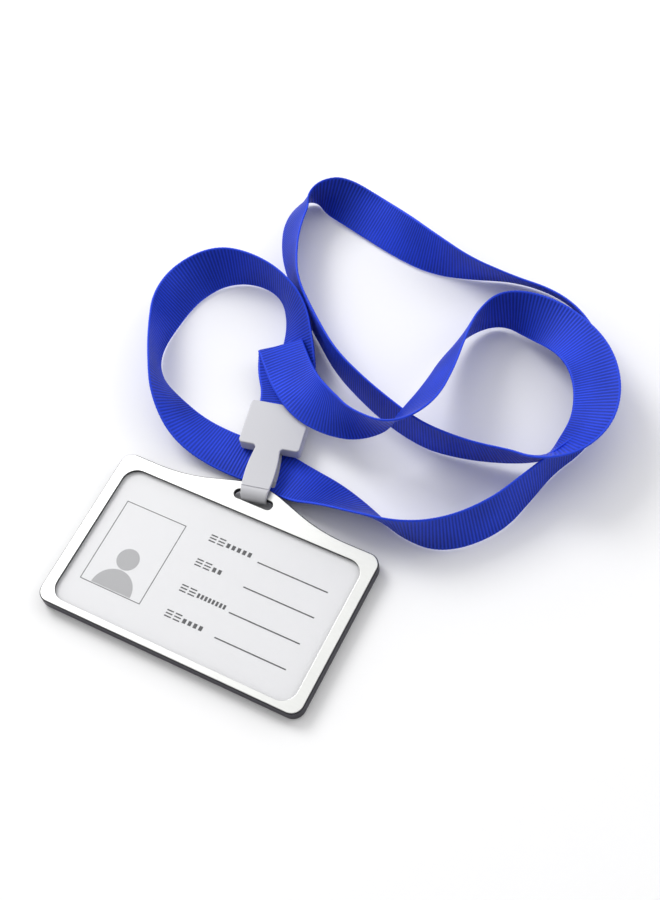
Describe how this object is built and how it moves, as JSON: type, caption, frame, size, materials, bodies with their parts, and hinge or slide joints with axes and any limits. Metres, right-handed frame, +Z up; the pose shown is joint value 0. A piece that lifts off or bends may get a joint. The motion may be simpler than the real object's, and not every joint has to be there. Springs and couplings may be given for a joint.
{
  "type": "lanyard badge holder",
  "caption": "Rigid card holder with a framed clear window and an arched slotted lug, looped by a plastic strap clip that grips a flat neck ribbon.",
  "frame": {"origin": "centre of the case's flat back face, on the table", "axes": "+X along the holder's long side to the right, +Y across the holder towards the clip, +Z up out of the window"},
  "size_m": [0.15, 0.1752, 0.023],
  "materials": {
    "case": "satin moulded",
    "film": "matt adhesive film",
    "plate": "fine brushed",
    "window": "clear polished",
    "card": "satin printed",
    "clip": "satin moulded",
    "ribbon": "ribbed woven"
  },
  "bodies": {
    "clip": {"clip_front": "clip", "clip_back": "clip", "lanyard_ribbon": "ribbon"},
    "holder": {"case_body": "case", "bond_film": "film", "front_plate": "plate", "window_sheet": "window"},
    "card": {"card_insert": "card"}
  },
  "joints": [
    {"name": "holder_swing", "type": "hinge", "parent": "clip", "child": "holder", "pos_m": [0, 0.03283, 0.00361], "axis": [-1, 0, 0], "range_deg": [-90, 120]},
    {"name": "card_slide", "type": "slide", "parent": "holder", "child": "card", "axis": [-1, 0, 0], "range_m": [0, 0.078]}
  ]
}
